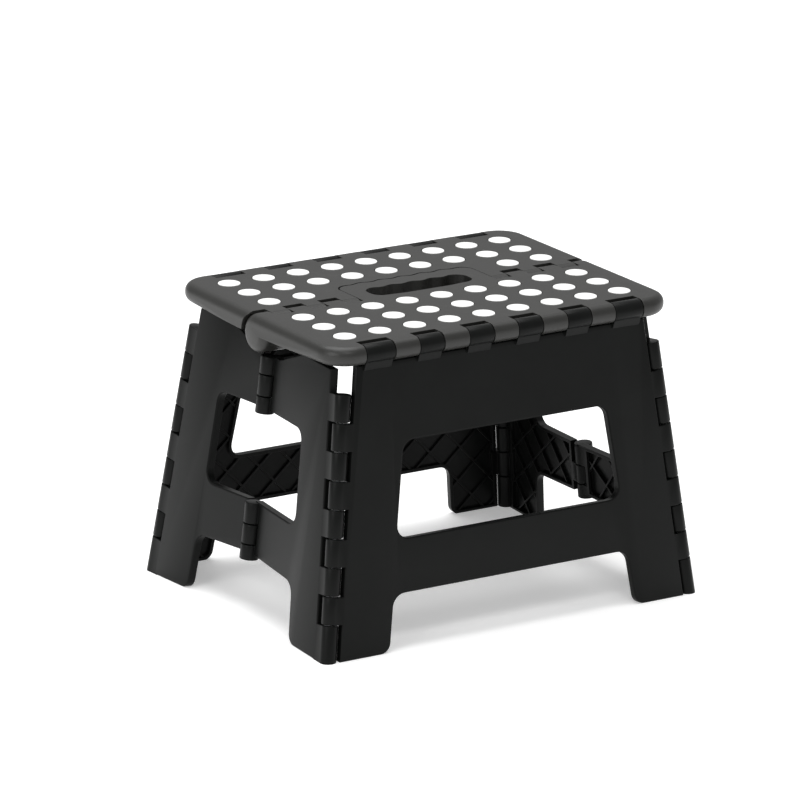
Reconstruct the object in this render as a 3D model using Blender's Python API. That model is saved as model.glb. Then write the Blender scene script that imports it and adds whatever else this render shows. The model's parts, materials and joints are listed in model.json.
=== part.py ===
"""Folding plastic step stool: two deck halves, two leg panels and two pairs of folding end panels.

The frame has its origin on the floor under the middle of the deck, +X along the deck's long side,
+Y to the rear and +Z up. Every slanted part is drawn in the flat frame of its own panel.
"""

import math

import bmesh
import bpy
from mathutils import Matrix, Vector

MM = 0.001

# Deck
DECK_TOP = 220.0
DECK_BOTTOM = 206.0
DECK_HALF_LENGTH = 143.0
DECK_HALF_WIDTH = 108.0
DECK_CORNER = 22.0
DECK_SKIN = 3.0
WALL = 3.0

# Hinge between the deck halves, along X under the seam
SEAM_AXIS_Z = 206.0
SEAM_LUG_RADIUS = 14.0
SEAM_NOTCH_REACH = 8.3
SEAM_WALL_Y = 17.5
SEAM_LUG_EDGES = (56.3, 69.3, 84.3, 98.0, 113.2, 127.9)

# Carrying handle: a tongue on the front half with a hand slot through it
TONGUE_HALF = 55.9
TONGUE_REAR = 31.0
TONGUE_NOTCH_HALF = 56.3
TONGUE_NOTCH_REAR = 32.4
SLOT_HALF = 42.0
SLOT_FRONT = -5.0
SLOT_REAR = 17.0
SLOT_CORNER = 8.0

# Hinges between the deck halves and the leg panels
EDGE_AXIS_Y = 101.0
EDGE_AXIS_Z = 213.0
EDGE_RADIUS = 7.0
EDGE_KNUCKLES = ((10.3, 30.5), (51.7, 71.5), (92.0, 115.5))
EDGE_POCKET_Y = 93.3

# Leg panels
LEG_BASE_Y = 124.0
LEG_RISE = 24.05 / 220.0
LEG_SKIN = 3.4
LEG_DEPTH = 6.0
LEG_EDGE_DEPTH = 5.5
LEG_EDGE_BAND = 44.5
LEG_TOP_Z = 205.2
LEG_WINDOW = ((94.35, 79.0), (84.6, 147.6))
LEG_WINDOW_FILLET = 9.0
LEG_CUT = ((104.1, -6.0), (98.4, 40.45))
LEG_CUT_FILLET = 10.0

# Corner hinges, which run up the slanted corners
CORNER_X = 151.8
CORNER_Y = 118.0
CORNER_RISE_X = -0.1229
CORNER_RISE_Y = 24.05 / 220.0
CORNER_RADIUS = 6.0
CORNER_CLEAR = 7.2
CORNER_LEVELS = (-2.0, 26.0, 46.0, 66.0, 86.0, 106.0, 126.0, 146.0, 166.0, 186.0)

# End panels
END_BEND = math.radians(4.2)
END_SKIN = 2.5
END_DEPTH = 6.0
END_HINGE_RADIUS = 6.8
END_HINGE_CLEAR = 8.3
END_PARTING = 0.35  # half the slit between the two halves
END_SIDE = 8.0  # distance from the corner axis to the panel's edge
END_FOOT = 48.5
END_ARCH = ((41.8, 10.0), 45.2)  # height and fillet at the foot, and height at the middle
END_WINDOW = ((48.0, 81.5), (45.4, 149.5))
END_WINDOW_MIDDLE = (83.5, 150.5)
END_WINDOW_FILLET = 9.0
END_TOP = ((14.0, 188.5), (46.0, 201.5))  # (distance from the middle, height), below the deck's end lobe
END_UPPER_LEVELS = (146.5, 159.35, 175.0, 188.5)
END_LOWER_LEVELS = (40.5, 52.2, 67.0, 82.7)

# Steel pins and the play round them
SEAM_PIN = (2.0, 44.8, 141.0)
EDGE_PIN = (1.75, 127.0)
CORNER_PIN = (1.5, 5.5, 182.5)
PIN_PLAY = 0.3
GAP = 0.3
LUG_SIDES = 20
KNUCKLE_SIDES = 14
PIN_SIDES = 10
DOT_SIDES = 14
SUNK = 0.06  # how far a knuckle's web stays inside the knuckle and the skin it joins

# Rubber grip dots
DOT_PITCH = 28.76
DOT_RADIUS = 8.1
DOT_ROWS = (22.9, 50.0, 77.4)
DOT_PROUD = 0.3
RUNNER_HALF = 3.0
RUNNER_LOW = 214.6


# Frames -------------------------------------------------------------------------------------

def frame_of(origin, first, second, third):
    """Matrix whose columns are the three directions, at the origin."""
    matrix = Matrix.Identity(4)
    for column, direction in enumerate((first, second, third)):
        matrix.col[column][:3] = direction
    matrix.col[3][:3] = origin
    return matrix


def mirrored(frame, x_sign, y_sign):
    return Matrix.Diagonal((x_sign, y_sign, 1.0, 1.0)) @ frame


def leg_frame():
    """Front leg panel: u along X, v up the slanted face, w into the stool."""
    slant = math.atan(LEG_RISE)
    up = Vector((0.0, math.sin(slant), math.cos(slant)))
    inward = Vector((0.0, math.cos(slant), -math.sin(slant)))
    return frame_of(Vector((0.0, -LEG_BASE_Y, 0.0)), Vector((1.0, 0.0, 0.0)), up, inward)


def end_frame():
    """Right front end panel: s from the corner axis to the middle, v up the axis, w into the stool."""
    up = corner_point(1.0) - corner_point(0.0)
    up.normalize()
    along = Vector((0.0, 1.0, 0.0))
    along -= up * along.dot(up)
    along.normalize()
    along.rotate(Matrix.Rotation(END_BEND, 3, up))
    return frame_of(corner_point(0.0), along, up, up.cross(along))


def corner_point(z):
    """Point of the right front corner axis at height z."""
    return Vector((CORNER_X + CORNER_RISE_X * z, -CORNER_Y + CORNER_RISE_Y * z, z))


def corner_u(z):
    return CORNER_X + CORNER_RISE_X * z


LEVEL = frame_of(Vector((0, 0, 0)), Vector((1, 0, 0)), Vector((0, 1, 0)), Vector((0, 0, 1)))
ACROSS = frame_of(Vector((0, 0, 0)), Vector((0, 1, 0)), Vector((0, 0, 1)), Vector((1, 0, 0)))
LEG = leg_frame()
END = end_frame()
LEG_V = 1.0 / LEG.col[1][2]  # panel length for each unit of height, on a leg panel
END_V = 1.0 / END.col[1][2]  # the same up a corner axis


def end_v(s, z):
    """Length v at which the outer face of an end panel is z high, at distance s from the corner axis."""
    return (z - s * END.col[0][2] + CORNER_RADIUS * END.col[2][2]) / END.col[1][2]


def middle_point(z):
    """Point (s, v) at height z where the outer face of an end panel meets the middle plane."""
    near = END @ Vector((0.0, end_v(0.0, z), -CORNER_RADIUS))
    far = END @ Vector((1.0, end_v(1.0, z), -CORNER_RADIUS))
    s = near.y / (near.y - far.y)
    return Vector((s, end_v(s, z)))


# Shapes -------------------------------------------------------------------------------------

def arc(centre, radius, start, end, steps):
    """Points round part of a circle, angles in degrees."""
    points = []
    for step in range(steps + 1):
        angle = math.radians(start + (end - start) * step / steps)
        points.append((centre[0] + radius * math.cos(angle), centre[1] + radius * math.sin(angle)))
    return points


def rounded(corners, steps=3):
    """Outline with each (a, b, radius) corner replaced by an arc."""
    points = []
    for index, (a, b, radius) in enumerate(corners):
        here = Vector((a, b))
        if radius == 0.0:
            points.append((a, b))
            continue
        before = (Vector(corners[index - 1][:2]) - here).normalized()
        after = (Vector(corners[(index + 1) % len(corners)][:2]) - here).normalized()
        half = before.angle(after) / 2.0
        centre = here + (before + after).normalized() * radius / math.sin(half)
        first = here + before * radius / math.tan(half) - centre
        last = here + after * radius / math.tan(half) - centre
        turn = first.angle_signed(last)
        for step in range(steps + 1):
            # angle_signed is positive clockwise, so the turn is taken the other way round
            rotated = Matrix.Rotation(-turn * step / steps, 2) @ first
            points.append((centre.x + rotated.x, centre.y + rotated.y))
    return points


def inset(points, distance):
    """Outline moved inwards by the distance, or outwards when it is negative."""
    count = len(points)
    area = sum(points[i - 1][0] * points[i][1] - points[i][0] * points[i - 1][1] for i in range(count))
    side = distance if area > 0.0 else -distance
    moved = []
    for index in range(count):
        here = Vector(points[index])
        before = (here - Vector(points[index - 1])).normalized()
        after = (Vector(points[(index + 1) % count]) - here).normalized()
        normal_before = Vector((-before.y, before.x))
        normal_after = Vector((-after.y, after.x))
        bisector = (normal_before + normal_after).normalized()
        here += bisector * side / max(bisector.dot(normal_before), 0.3)
        moved.append((here.x, here.y))
    return moved


def both_sides(half):
    """Closed outline from its right half, which runs from the middle to the middle."""
    return half + [(-a, b, radius) for a, b, radius in reversed(half)]


def helper(name, builder):
    mesh = bpy.data.meshes.new(name)
    builder.to_mesh(mesh)
    builder.free()
    piece = bpy.data.objects.new(name, mesh)
    bpy.context.scene.collection.objects.link(piece)
    return piece


def prism(outline, low, high, frame=LEVEL):
    """Solid with the outline in the frame's first two directions, from low to high in the third."""
    builder = bmesh.new()
    floor = [builder.verts.new(frame @ Vector((a, b, low))) for a, b in outline]
    face = builder.faces.new(floor)
    lift = frame.to_3x3() @ Vector((0.0, 0.0, high - low))
    swept = bmesh.ops.extrude_face_region(builder, geom=[face])
    moved = [item for item in swept["geom"] if isinstance(item, bmesh.types.BMVert)]
    bmesh.ops.translate(builder, verts=moved, vec=lift)
    bmesh.ops.recalc_face_normals(builder, faces=builder.faces)
    bmesh.ops.scale(builder, verts=builder.verts, vec=(MM, MM, MM))
    return helper("helper", builder)


def box(low, high, frame=LEVEL):
    outline = [(low[0], low[1]), (high[0], low[1]), (high[0], high[1]), (low[0], high[1])]
    return prism(outline, low[2], high[2], frame)


def rod(start, end, radius, sides=PIN_SIDES):
    """Round bar between two points."""
    line = Vector(end) - Vector(start)
    builder = bmesh.new()
    turned = line.to_track_quat("Z", "Y").to_matrix().to_4x4()
    place = Matrix.Translation((Vector(start) + Vector(end)) / 2.0) @ turned
    bmesh.ops.create_cone(builder, cap_ends=True, segments=sides, radius1=radius, radius2=radius,
                          depth=line.length, matrix=place)
    bmesh.ops.scale(builder, verts=builder.verts, vec=(MM, MM, MM))
    return helper("helper", builder)


def x_rod(x_low, x_high, y, z, radius, sides=PIN_SIDES):
    return rod((x_low, y, z), (x_high, y, z), radius, sides)


def combine(base, others, operation):
    """Applies one Boolean of all the other pieces to the base, and removes them."""
    if not others:
        return
    group = bpy.data.collections.new("operands")
    for other in others:
        group.objects.link(other)
    modifier = base.modifiers.new("combine", "BOOLEAN")
    modifier.operation = operation
    modifier.operand_type = "COLLECTION"
    modifier.collection = group
    modifier.solver = "EXACT"
    modifier.use_self = operation == "UNION"
    graph = bpy.context.evaluated_depsgraph_get()
    result = bpy.data.meshes.new_from_object(base.evaluated_get(graph))
    base.modifiers.remove(modifier)
    old = base.data
    base.data = result
    bpy.data.meshes.remove(old)
    for other in others:
        mesh = other.data
        bpy.data.objects.remove(other)
        bpy.data.meshes.remove(mesh)
    bpy.data.collections.remove(group)


def finish(name, piece, material, axis_empty):
    """Names the piece, cleans its mesh, and hangs it on the empty that stands on its joint."""
    builder = bmesh.new()
    builder.from_mesh(piece.data)
    bmesh.ops.remove_doubles(builder, verts=builder.verts, dist=0.000001)
    bmesh.ops.dissolve_limit(builder, angle_limit=0.002, verts=builder.verts, edges=builder.edges)
    bmesh.ops.triangulate(builder, faces=builder.faces)
    builder.to_mesh(piece.data)
    builder.free()
    piece.name = name
    piece.data.name = name
    piece.data.materials.clear()
    piece.data.materials.append(material)
    piece.data.shade_smooth()
    piece.data.set_sharp_from_angle(angle=math.radians(35.0))
    piece.parent = axis_empty
    piece.matrix_parent_inverse = axis_empty.matrix_world.inverted()
    return piece


def plain_material(name, colour, roughness, metallic=0.0):
    material = bpy.data.materials.new(name)
    material.use_nodes = True
    shader = material.node_tree.nodes["Principled BSDF"]
    shader.inputs["Base Color"].default_value = (*colour, 1.0)
    shader.inputs["Roughness"].default_value = roughness
    shader.inputs["Metallic"].default_value = metallic
    return material


def axis_empty(name, point):
    empty = bpy.data.objects.new(name, None)
    empty.location = Vector(point) * MM
    bpy.context.scene.collection.objects.link(empty)
    bpy.context.view_layer.update()
    return empty


# Deck ---------------------------------------------------------------------------------------

def lug_spans(front_half):
    """X spans of one half's seam lugs on the right side; the end lobe is on the front half."""
    edges = SEAM_LUG_EDGES
    if front_half:
        return [(edges[1], edges[2]), (edges[3], edges[4]), (edges[5], DECK_HALF_LENGTH)]
    return [(edges[0], edges[1]), (edges[2], edges[3]), (edges[4], edges[5])]


def deck_half(y_sign):
    """One deck half as a skin with walls under it, its seam lugs and its edge knuckles."""
    front = y_sign < 0
    bullnose = [(y_sign * a, b) for a, b in arc((EDGE_AXIS_Y, EDGE_AXIS_Z), EDGE_RADIUS, 90.0, -90.0, 7)]
    profile = [(0.0, DECK_BOTTOM), (0.0, DECK_TOP)] + bullnose
    base = prism(profile, -DECK_HALF_LENGTH, DECK_HALF_LENGTH, ACROSS)

    adds = []
    for low, high in lug_spans(front):
        for x_sign in (1, -1):
            play = GAP / 2 if high < DECK_HALF_LENGTH else 0.0
            ends = sorted((x_sign * (low + GAP / 2), x_sign * (high - play)))
            adds.append(x_rod(*ends, 0.0, SEAM_AXIS_Z, SEAM_LUG_RADIUS - SUNK, LUG_SIDES))
    if front:
        adds.append(box((-TONGUE_HALF, -1.0, DECK_BOTTOM), (TONGUE_HALF, TONGUE_REAR, DECK_TOP)))
        for x_sign in (1, -1):
            ends = sorted((x_sign * (SLOT_HALF + WALL), x_sign * TONGUE_HALF))
            adds.append(x_rod(*ends, 0.0, SEAM_AXIS_Z, SEAM_LUG_RADIUS - SUNK, LUG_SIDES))

    # clearances for the other half's lugs, before the lugs of this half are added
    cuts = []
    for low, high in lug_spans(not front):
        for x_sign in (1, -1):
            reach = high + (GAP / 2 if high < DECK_HALF_LENGTH else 5.0)
            ends = sorted((x_sign * (low - GAP / 2), x_sign * reach))
            cuts.append(x_rod(*ends, 0.0, SEAM_AXIS_Z, SEAM_LUG_RADIUS + 0.6, LUG_SIDES))
            sides = sorted((y_sign * -3.0, y_sign * SEAM_NOTCH_REACH))
            cuts.append(box((ends[0], sides[0], 190.0), (ends[1], sides[1], 230.0)))
    if not front:
        cuts.append(box((-TONGUE_NOTCH_HALF, -3.0, 190.0), (TONGUE_NOTCH_HALF, TONGUE_NOTCH_REAR, 230.0)))
    outside = 200.0
    plan_hole = [(-outside, -outside), (outside, -outside), (outside, outside), (-outside, outside)]
    frame_cut = prism(plan_hole, 150.0, 260.0)
    corners = [(DECK_HALF_LENGTH, -60.0, 0.0), (DECK_HALF_LENGTH, DECK_HALF_WIDTH, DECK_CORNER)]
    plan = rounded(both_sides(corners), 4)
    combine(frame_cut, [prism([(a, y_sign * b) for a, b in plan], 140.0, 270.0)], "DIFFERENCE")
    cuts.append(frame_cut)

    # hollow underside
    for x_low, x_high, y_low in hollow_spans(front):
        sides = sorted((y_sign * y_low, y_sign * (EDGE_POCKET_Y - WALL)))
        cuts.append(box((x_low, sides[0], 190.0), (x_high, sides[1], DECK_TOP - DECK_SKIN)))

    # pockets for the leg panel's knuckles
    for low, high in EDGE_KNUCKLES:
        for x_sign in (1, -1):
            ends = sorted((x_sign * (low - GAP / 2), x_sign * (high + GAP / 2)))
            sides = sorted((y_sign * EDGE_POCKET_Y, y_sign * (DECK_HALF_WIDTH + 3.0)))
            cuts.append(box((ends[0], sides[0], 190.0), (ends[1], sides[1], 230.0)))
    combine(base, cuts, "DIFFERENCE")
    combine(base, adds, "UNION")

    # hand slot, pin bores and the seats of the grip dots
    cuts = [edge_bore(y_sign)]
    for x_sign in (1, -1):
        ends = sorted((x_sign * (SEAM_PIN[1] - GAP), x_sign * (SEAM_PIN[2] + GAP)))
        cuts.append(x_rod(*ends, 0.0, SEAM_AXIS_Z, SEAM_PIN[0] + PIN_PLAY))
    if front:
        slot = rounded([(-SLOT_HALF, SLOT_FRONT, SLOT_CORNER), (SLOT_HALF, SLOT_FRONT, SLOT_CORNER),
                        (SLOT_HALF, SLOT_REAR, SLOT_CORNER), (-SLOT_HALF, SLOT_REAR, SLOT_CORNER)])
        cuts.append(prism(slot, 190.0, 230.0))
        inner = TONGUE_HALF - WALL
        low = (-inner, SLOT_REAR + WALL, 190.0)
        cuts.append(box(low, (inner, TONGUE_REAR - WALL, DECK_TOP - DECK_SKIN)))
    for row in DOT_ROWS:
        for column in dot_columns(y_sign, row):
            place = (column * DOT_PITCH, y_sign * row)
            cuts.append(rod((*place, 210.0), (*place, 225.0), DOT_RADIUS + GAP, DOT_SIDES))
    combine(base, cuts, "DIFFERENCE")
    return base


def hollow_spans(front):
    """(x low, x high, y of the seam side) of the hollows under one half, between its ribs."""
    inner = DECK_HALF_LENGTH - WALL
    middle = SEAM_WALL_Y if front else TONGUE_NOTCH_REAR + WALL
    split = TONGUE_NOTCH_HALF + WALL
    rib = WALL / 2
    return [(-inner, -split, SEAM_WALL_Y), (-split + WALL, -rib, middle), (rib, split - WALL, middle),
            (split, inner, SEAM_WALL_Y)]


def dot_columns(y_sign, row):
    """Column numbers of one row; the rear row by the handle keeps only its two outer pairs."""
    if y_sign > 0 and row == DOT_ROWS[0]:
        return [-4, -3, 3, 4]
    return list(range(-4, 5))


def grip_row(y_sign, row, columns):
    """Row of rubber dots in the deck's holes, joined by a runner under the skin."""
    under = DECK_TOP - DECK_SKIN - GAP
    y = y_sign * row
    x_low = columns[0] * DOT_PITCH - RUNNER_HALF
    x_high = columns[-1] * DOT_PITCH + RUNNER_HALF
    base = box((x_low, y - RUNNER_HALF, RUNNER_LOW), (x_high, y + RUNNER_HALF, under))
    dots = []
    for column in columns:
        place = (column * DOT_PITCH, y)
        dots.append(rod((*place, RUNNER_LOW + 1.0), (*place, DECK_TOP + DOT_PROUD), DOT_RADIUS, DOT_SIDES))
    combine(base, dots, "UNION")
    return base


# Leg panels ---------------------------------------------------------------------------------

def leg_panel(y_sign):
    """One leg panel: a slanted skin with a window, feet, flanges, and knuckles at top and sides."""
    frame = mirrored(LEG, 1, -y_sign)
    v = LEG_V

    def side(z, margin=CORNER_CLEAR):
        return corner_u(z) - margin

    half = [(LEG_CUT[1][0], LEG_CUT[1][1] * v, LEG_CUT_FILLET), (LEG_CUT[0][0], LEG_CUT[0][1] * v, 0.0),
            (side(-6.0), -6.0 * v, 0.0), (side(LEG_TOP_Z), LEG_TOP_Z * v, 0.0)]
    outline = rounded(both_sides(half))
    window = rounded(both_sides([(a, b * v, LEG_WINDOW_FILLET) for a, b in LEG_WINDOW]))

    base = prism(outline, 0.0, LEG_DEPTH, frame)
    hollow = prism(inset(outline, 2.6), LEG_SKIN, LEG_DEPTH + 5.0, frame)
    combine(hollow, [prism(inset(window, -2.6), 0.0, LEG_DEPTH + 9.0, frame)], "DIFFERENCE")
    cuts = [hollow, prism(window, -5.0, LEG_DEPTH + 5.0, frame)]
    for x_sign in (1, -1):
        band = [(x_sign * side(z, margin), z * v) for z, margin in
                ((-20.0, LEG_EDGE_BAND), (-20.0, -20.0), (230.0, -20.0), (230.0, LEG_EDGE_BAND))]
        cuts.append(prism(band, LEG_EDGE_DEPTH, LEG_DEPTH + 9.0, frame))
    combine(base, cuts, "DIFFERENCE")

    adds = []
    levels = CORNER_LEVELS
    for x_sign in (1, -1):
        for low, high in zip(levels[1:-1:2], levels[2::2]):
            start = mirror_point(corner_point(low + GAP), x_sign, -y_sign)
            end = mirror_point(corner_point(high - GAP), x_sign, -y_sign)
            adds.append(rod(start, end, CORNER_RADIUS, KNUCKLE_SIDES))
            bottom, top = low + GAP + SUNK, high - GAP - SUNK
            web = [(x_sign * (corner_u(z) - reach), z * v) for z, reach in
                   ((bottom, 0.0), (top, 0.0), (top, 10.6), (bottom, 10.6))]
            adds.append(prism(web, SUNK, LEG_EDGE_DEPTH - SUNK, frame))
    for low, high in EDGE_KNUCKLES:
        for x_sign in (1, -1):
            ends = sorted((x_sign * (low + GAP / 2), x_sign * (high - GAP / 2)))
            adds.append(x_rod(*ends, y_sign * EDGE_AXIS_Y, EDGE_AXIS_Z, EDGE_RADIUS, KNUCKLE_SIDES))
            web = [(106.0, 210.0), (102.7, 202.0), (95.3, 202.0), (95.3, 211.0)]
            adds.append(prism([(y_sign * a, b) for a, b in web], ends[0] + SUNK, ends[1] - SUNK, ACROSS))
    combine(base, adds, "UNION")

    cuts = [floor_cut(), edge_bore(y_sign)]
    cuts += [corner_bore(x_sign, y_sign) for x_sign in (1, -1)]
    combine(base, cuts, "DIFFERENCE")
    return base


def mirror_point(point, x_sign, y_sign):
    return Vector((point.x * x_sign, point.y * y_sign, point.z))


def floor_cut():
    return box((-300.0, -300.0, -50.0), (300.0, 300.0, 0.0))


def edge_bore(y_sign):
    return x_rod(-EDGE_PIN[1] - GAP, EDGE_PIN[1] + GAP, y_sign * EDGE_AXIS_Y, EDGE_AXIS_Z,
                 EDGE_PIN[0] + PIN_PLAY)


def corner_bore(x_sign, y_sign):
    start = mirror_point(corner_point(CORNER_PIN[1] - GAP), x_sign, -y_sign)
    end = mirror_point(corner_point(CORNER_PIN[2] + GAP), x_sign, -y_sign)
    return rod(start, end, CORNER_PIN[0] + PIN_PLAY, PIN_SIDES)


# End panels ---------------------------------------------------------------------------------

def end_outline():
    """Outline of one end half in (s, v), past the middle so that the hinge trims it."""
    past = middle_point(100.0).x + 20.0
    (foot_z, foot_fillet), middle_z = END_ARCH
    points = [(END_SIDE, -6.0, 0.0), (END_FOOT, -6.0, 0.0), (END_FOOT, foot_z, foot_fillet),
              (middle_point(middle_z).x, middle_z, 0.0), (past, middle_z, 0.0), (past, END_TOP[0][1], 0.0)]
    points += [(middle_point(z).x - distance, z, 0.0) for distance, z in END_TOP]
    points.append((END_SIDE, END_TOP[1][1], 0.0))
    return rounded([(s, end_v(s, z), radius) for s, z, radius in points])


def end_window():
    past = middle_point(100.0).x + 25.0
    points = [(s, z, END_WINDOW_FILLET) for s, z in END_WINDOW]
    points = [(past, END_WINDOW_MIDDLE[0], 0.0)] + points + [(past, END_WINDOW_MIDDLE[1], 0.0)]
    return rounded([(s, end_v(s, z), radius) for s, z, radius in points])


def end_half(x_sign, y_sign):
    """Half of an end panel, from its corner hinge to the middle hinge."""
    frame = mirrored(END, x_sign, -y_sign)
    outer = -CORNER_RADIUS
    outline = end_outline()
    window = end_window()
    base = prism(outline, outer, outer + END_DEPTH, frame)
    hollow = prism(inset(outline, 2.4), outer + END_SKIN, 10.0, frame)
    window_ring = prism(inset(window, -2.4), outer - 5.0, 20.0, frame)
    seam_wall = prism(seam_strip(11.0), outer - 5.0, 20.0, frame)
    combine(hollow, [window_ring, seam_wall], "DIFFERENCE")
    cuts = [hollow]
    cuts += [prism(shape, outer - 5.0, 10.0, frame) for shape in (window, seam_strip(END_PARTING))]
    own, other = middle_spans(y_sign)
    for low, high in other:
        notch = seam_strip(END_HINGE_CLEAR, low - GAP, high + GAP)
        cuts.append(prism(notch, outer - 5.0, 10.0, frame))
    combine(base, cuts, "DIFFERENCE")

    adds = []
    levels = CORNER_LEVELS
    for low, high in zip(levels[0::2], levels[1::2]):
        start = mirror_point(corner_point(low + GAP), x_sign, -y_sign)
        end = mirror_point(corner_point(high - GAP), x_sign, -y_sign)
        adds.append(rod(start, end, CORNER_RADIUS, KNUCKLE_SIDES))
        bottom, top = (low + GAP + SUNK) * END_V, (high - GAP - SUNK) * END_V
        web = [(0.0, bottom), (0.0, top), (11.0, top), (11.0, bottom)]
        adds.append(prism(web, outer + SUNK, -SUNK, frame))
    for low, high in own:
        points = [frame @ Vector((*middle_point(z), outer)) for z in (low + GAP, high - GAP)]
        adds.append(rod(*points, END_HINGE_RADIUS, KNUCKLE_SIDES))
    combine(base, adds, "UNION")
    combine(base, [floor_cut(), corner_bore(x_sign, y_sign)], "DIFFERENCE")
    return base


def seam_strip(margin, low=-20.0, high=230.0):
    """Strip past the middle hinge's line, widened towards the corner by the margin."""
    far = 60.0
    start, end = middle_point(low), middle_point(high)
    line = end - start
    across = Vector((-line.y, line.x)).normalized()
    return [start + across * margin, start - across * far, end - across * far, end + across * margin]


def middle_spans(y_sign):
    """Height spans of the middle hinge's knuckles on this half, and on the other half."""
    outer_knuckles = []
    inner_knuckles = []
    for levels in (END_UPPER_LEVELS, END_LOWER_LEVELS):
        outer_knuckles += [(levels[0], levels[1]), (levels[2], levels[3])]
        inner_knuckles += [(levels[1], levels[2])]
    return (outer_knuckles, inner_knuckles) if y_sign < 0 else (inner_knuckles, outer_knuckles)


# Assembly -----------------------------------------------------------------------------------

def build():
    for piece in list(bpy.data.objects):
        bpy.data.objects.remove(piece)
    plastic = plain_material("black_plastic", (0.022, 0.023, 0.022), 0.45)
    steel = plain_material("pin_steel", (0.55, 0.56, 0.58), 0.3, 1.0)
    rubber = plain_material("white_rubber", (0.85, 0.85, 0.84), 0.6)

    sides = (("front", -1), ("rear", 1))
    ends = (("left", -1), ("right", 1))
    seam = axis_empty("seam_hinge_axis", (0.0, 0.0, SEAM_AXIS_Z))
    for side_name, y_sign in sides:
        edge = axis_empty(f"{side_name}_edge_hinge_axis", (0.0, y_sign * EDGE_AXIS_Y, EDGE_AXIS_Z))
        deck_axis = edge if y_sign < 0 else seam
        finish(f"{side_name}_deck", deck_half(y_sign), plastic, deck_axis)
        finish(f"{side_name}_leg_panel", leg_panel(y_sign), plastic, edge)
        pin = x_rod(-EDGE_PIN[1], EDGE_PIN[1], y_sign * EDGE_AXIS_Y, EDGE_AXIS_Z, EDGE_PIN[0])
        finish(f"{side_name}_edge_hinge_pin", pin, steel, edge)
        for number, row in enumerate(DOT_ROWS):
            columns = dot_columns(y_sign, row)
            groups = [("", columns)]
            if len(columns) == 4:
                groups = [("_left", columns[:2]), ("_right", columns[2:])]
            for suffix, group in groups:
                name = f"{side_name}_grip_row_{number + 1}{suffix}"
                finish(name, grip_row(y_sign, row, group), rubber, deck_axis)
        for end_name, x_sign in ends:
            corner = axis_empty(f"{end_name}_{side_name}_corner_axis",
                                mirror_point(corner_point(0.0), x_sign, -y_sign))
            finish(f"{end_name}_end_{side_name}_panel", end_half(x_sign, y_sign), plastic, corner)
            start = mirror_point(corner_point(CORNER_PIN[1]), x_sign, -y_sign)
            end = mirror_point(corner_point(CORNER_PIN[2]), x_sign, -y_sign)
            pin = rod(start, end, CORNER_PIN[0])
            finish(f"{end_name}_{side_name}_corner_pin", pin, steel, corner)
    for end_name, x_sign in ends:
        span = sorted((x_sign * SEAM_PIN[1], x_sign * SEAM_PIN[2]))
        finish(f"{end_name}_seam_hinge_pin", x_rod(*span, 0.0, SEAM_AXIS_Z, SEAM_PIN[0]), steel, seam)


build()
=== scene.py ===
import json
import math

import bmesh
import bpy
from mathutils import Matrix, Vector

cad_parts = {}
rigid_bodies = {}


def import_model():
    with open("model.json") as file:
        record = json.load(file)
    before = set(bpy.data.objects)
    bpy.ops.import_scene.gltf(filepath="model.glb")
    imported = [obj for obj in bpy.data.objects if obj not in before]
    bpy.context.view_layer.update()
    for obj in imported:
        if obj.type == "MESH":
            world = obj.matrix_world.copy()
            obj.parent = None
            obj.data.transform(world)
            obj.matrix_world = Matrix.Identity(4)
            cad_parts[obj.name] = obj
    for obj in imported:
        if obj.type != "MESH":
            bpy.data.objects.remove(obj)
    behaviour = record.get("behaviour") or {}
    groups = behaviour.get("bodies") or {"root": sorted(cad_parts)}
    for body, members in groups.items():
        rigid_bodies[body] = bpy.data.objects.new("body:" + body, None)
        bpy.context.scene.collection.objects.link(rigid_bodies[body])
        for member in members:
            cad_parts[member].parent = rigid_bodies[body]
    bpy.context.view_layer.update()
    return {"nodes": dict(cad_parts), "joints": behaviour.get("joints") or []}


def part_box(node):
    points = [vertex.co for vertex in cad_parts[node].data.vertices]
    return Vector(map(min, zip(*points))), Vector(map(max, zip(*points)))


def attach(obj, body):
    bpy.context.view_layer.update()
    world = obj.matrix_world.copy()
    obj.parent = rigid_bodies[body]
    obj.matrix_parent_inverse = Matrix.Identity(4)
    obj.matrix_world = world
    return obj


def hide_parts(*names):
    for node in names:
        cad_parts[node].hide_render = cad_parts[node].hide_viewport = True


# Folding step stool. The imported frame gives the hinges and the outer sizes, and the moulded shells,
# the grip dots and the finishes are made here. Shapes are worked out in millimetres.

for startupPiece in list(bpy.data.objects):
    bpy.data.objects.remove(startupPiece)
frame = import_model()
joints = {joint["name"]: joint for joint in frame["joints"]}
metresPerMm = 0.001


def jointPoint(name):
    return Vector(joints[name]["pos_m"]) / metresPerMm


def boxMm(node):
    low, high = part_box(node)
    return low / metresPerMm, high / metresPerMm


print("frame loaded:", len(frame["nodes"]), "nodes")

sunk = 0.06  # keeps joined surfaces from lying exactly on each other


# places: matrices whose first two directions hold an outline and whose third is its thickness
def placeOf(origin, first, second, third):
    place = Matrix.Identity(4)
    for column, direction in enumerate((first, second, third)):
        place.col[column][:3] = direction
    place.col[3][:3] = origin
    return place


def mirroredPlace(place, xSign, ySign):
    return Matrix.Diagonal((xSign, ySign, 1.0, 1.0)) @ place


level = Matrix.Identity(4)
across = placeOf(Vector(), Vector((0, 1, 0)), Vector((0, 0, 1)), Vector((1, 0, 0)))


# shapes
def workPiece(shape, name="work"):
    bmesh.ops.scale(shape, verts=shape.verts, vec=(metresPerMm,) * 3)
    mesh = bpy.data.meshes.new(name)
    shape.to_mesh(mesh)
    shape.free()
    piece = bpy.data.objects.new(name, mesh)
    bpy.context.scene.collection.objects.link(piece)
    return piece


def bevelEdges(shape, edges, radius, segments):
    bmesh.ops.bevel(shape, geom=edges, offset=radius, offset_type="OFFSET", segments=segments, profile=0.5,
                    affect="EDGES", clamp_overlap=True, material=-1)


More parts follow.
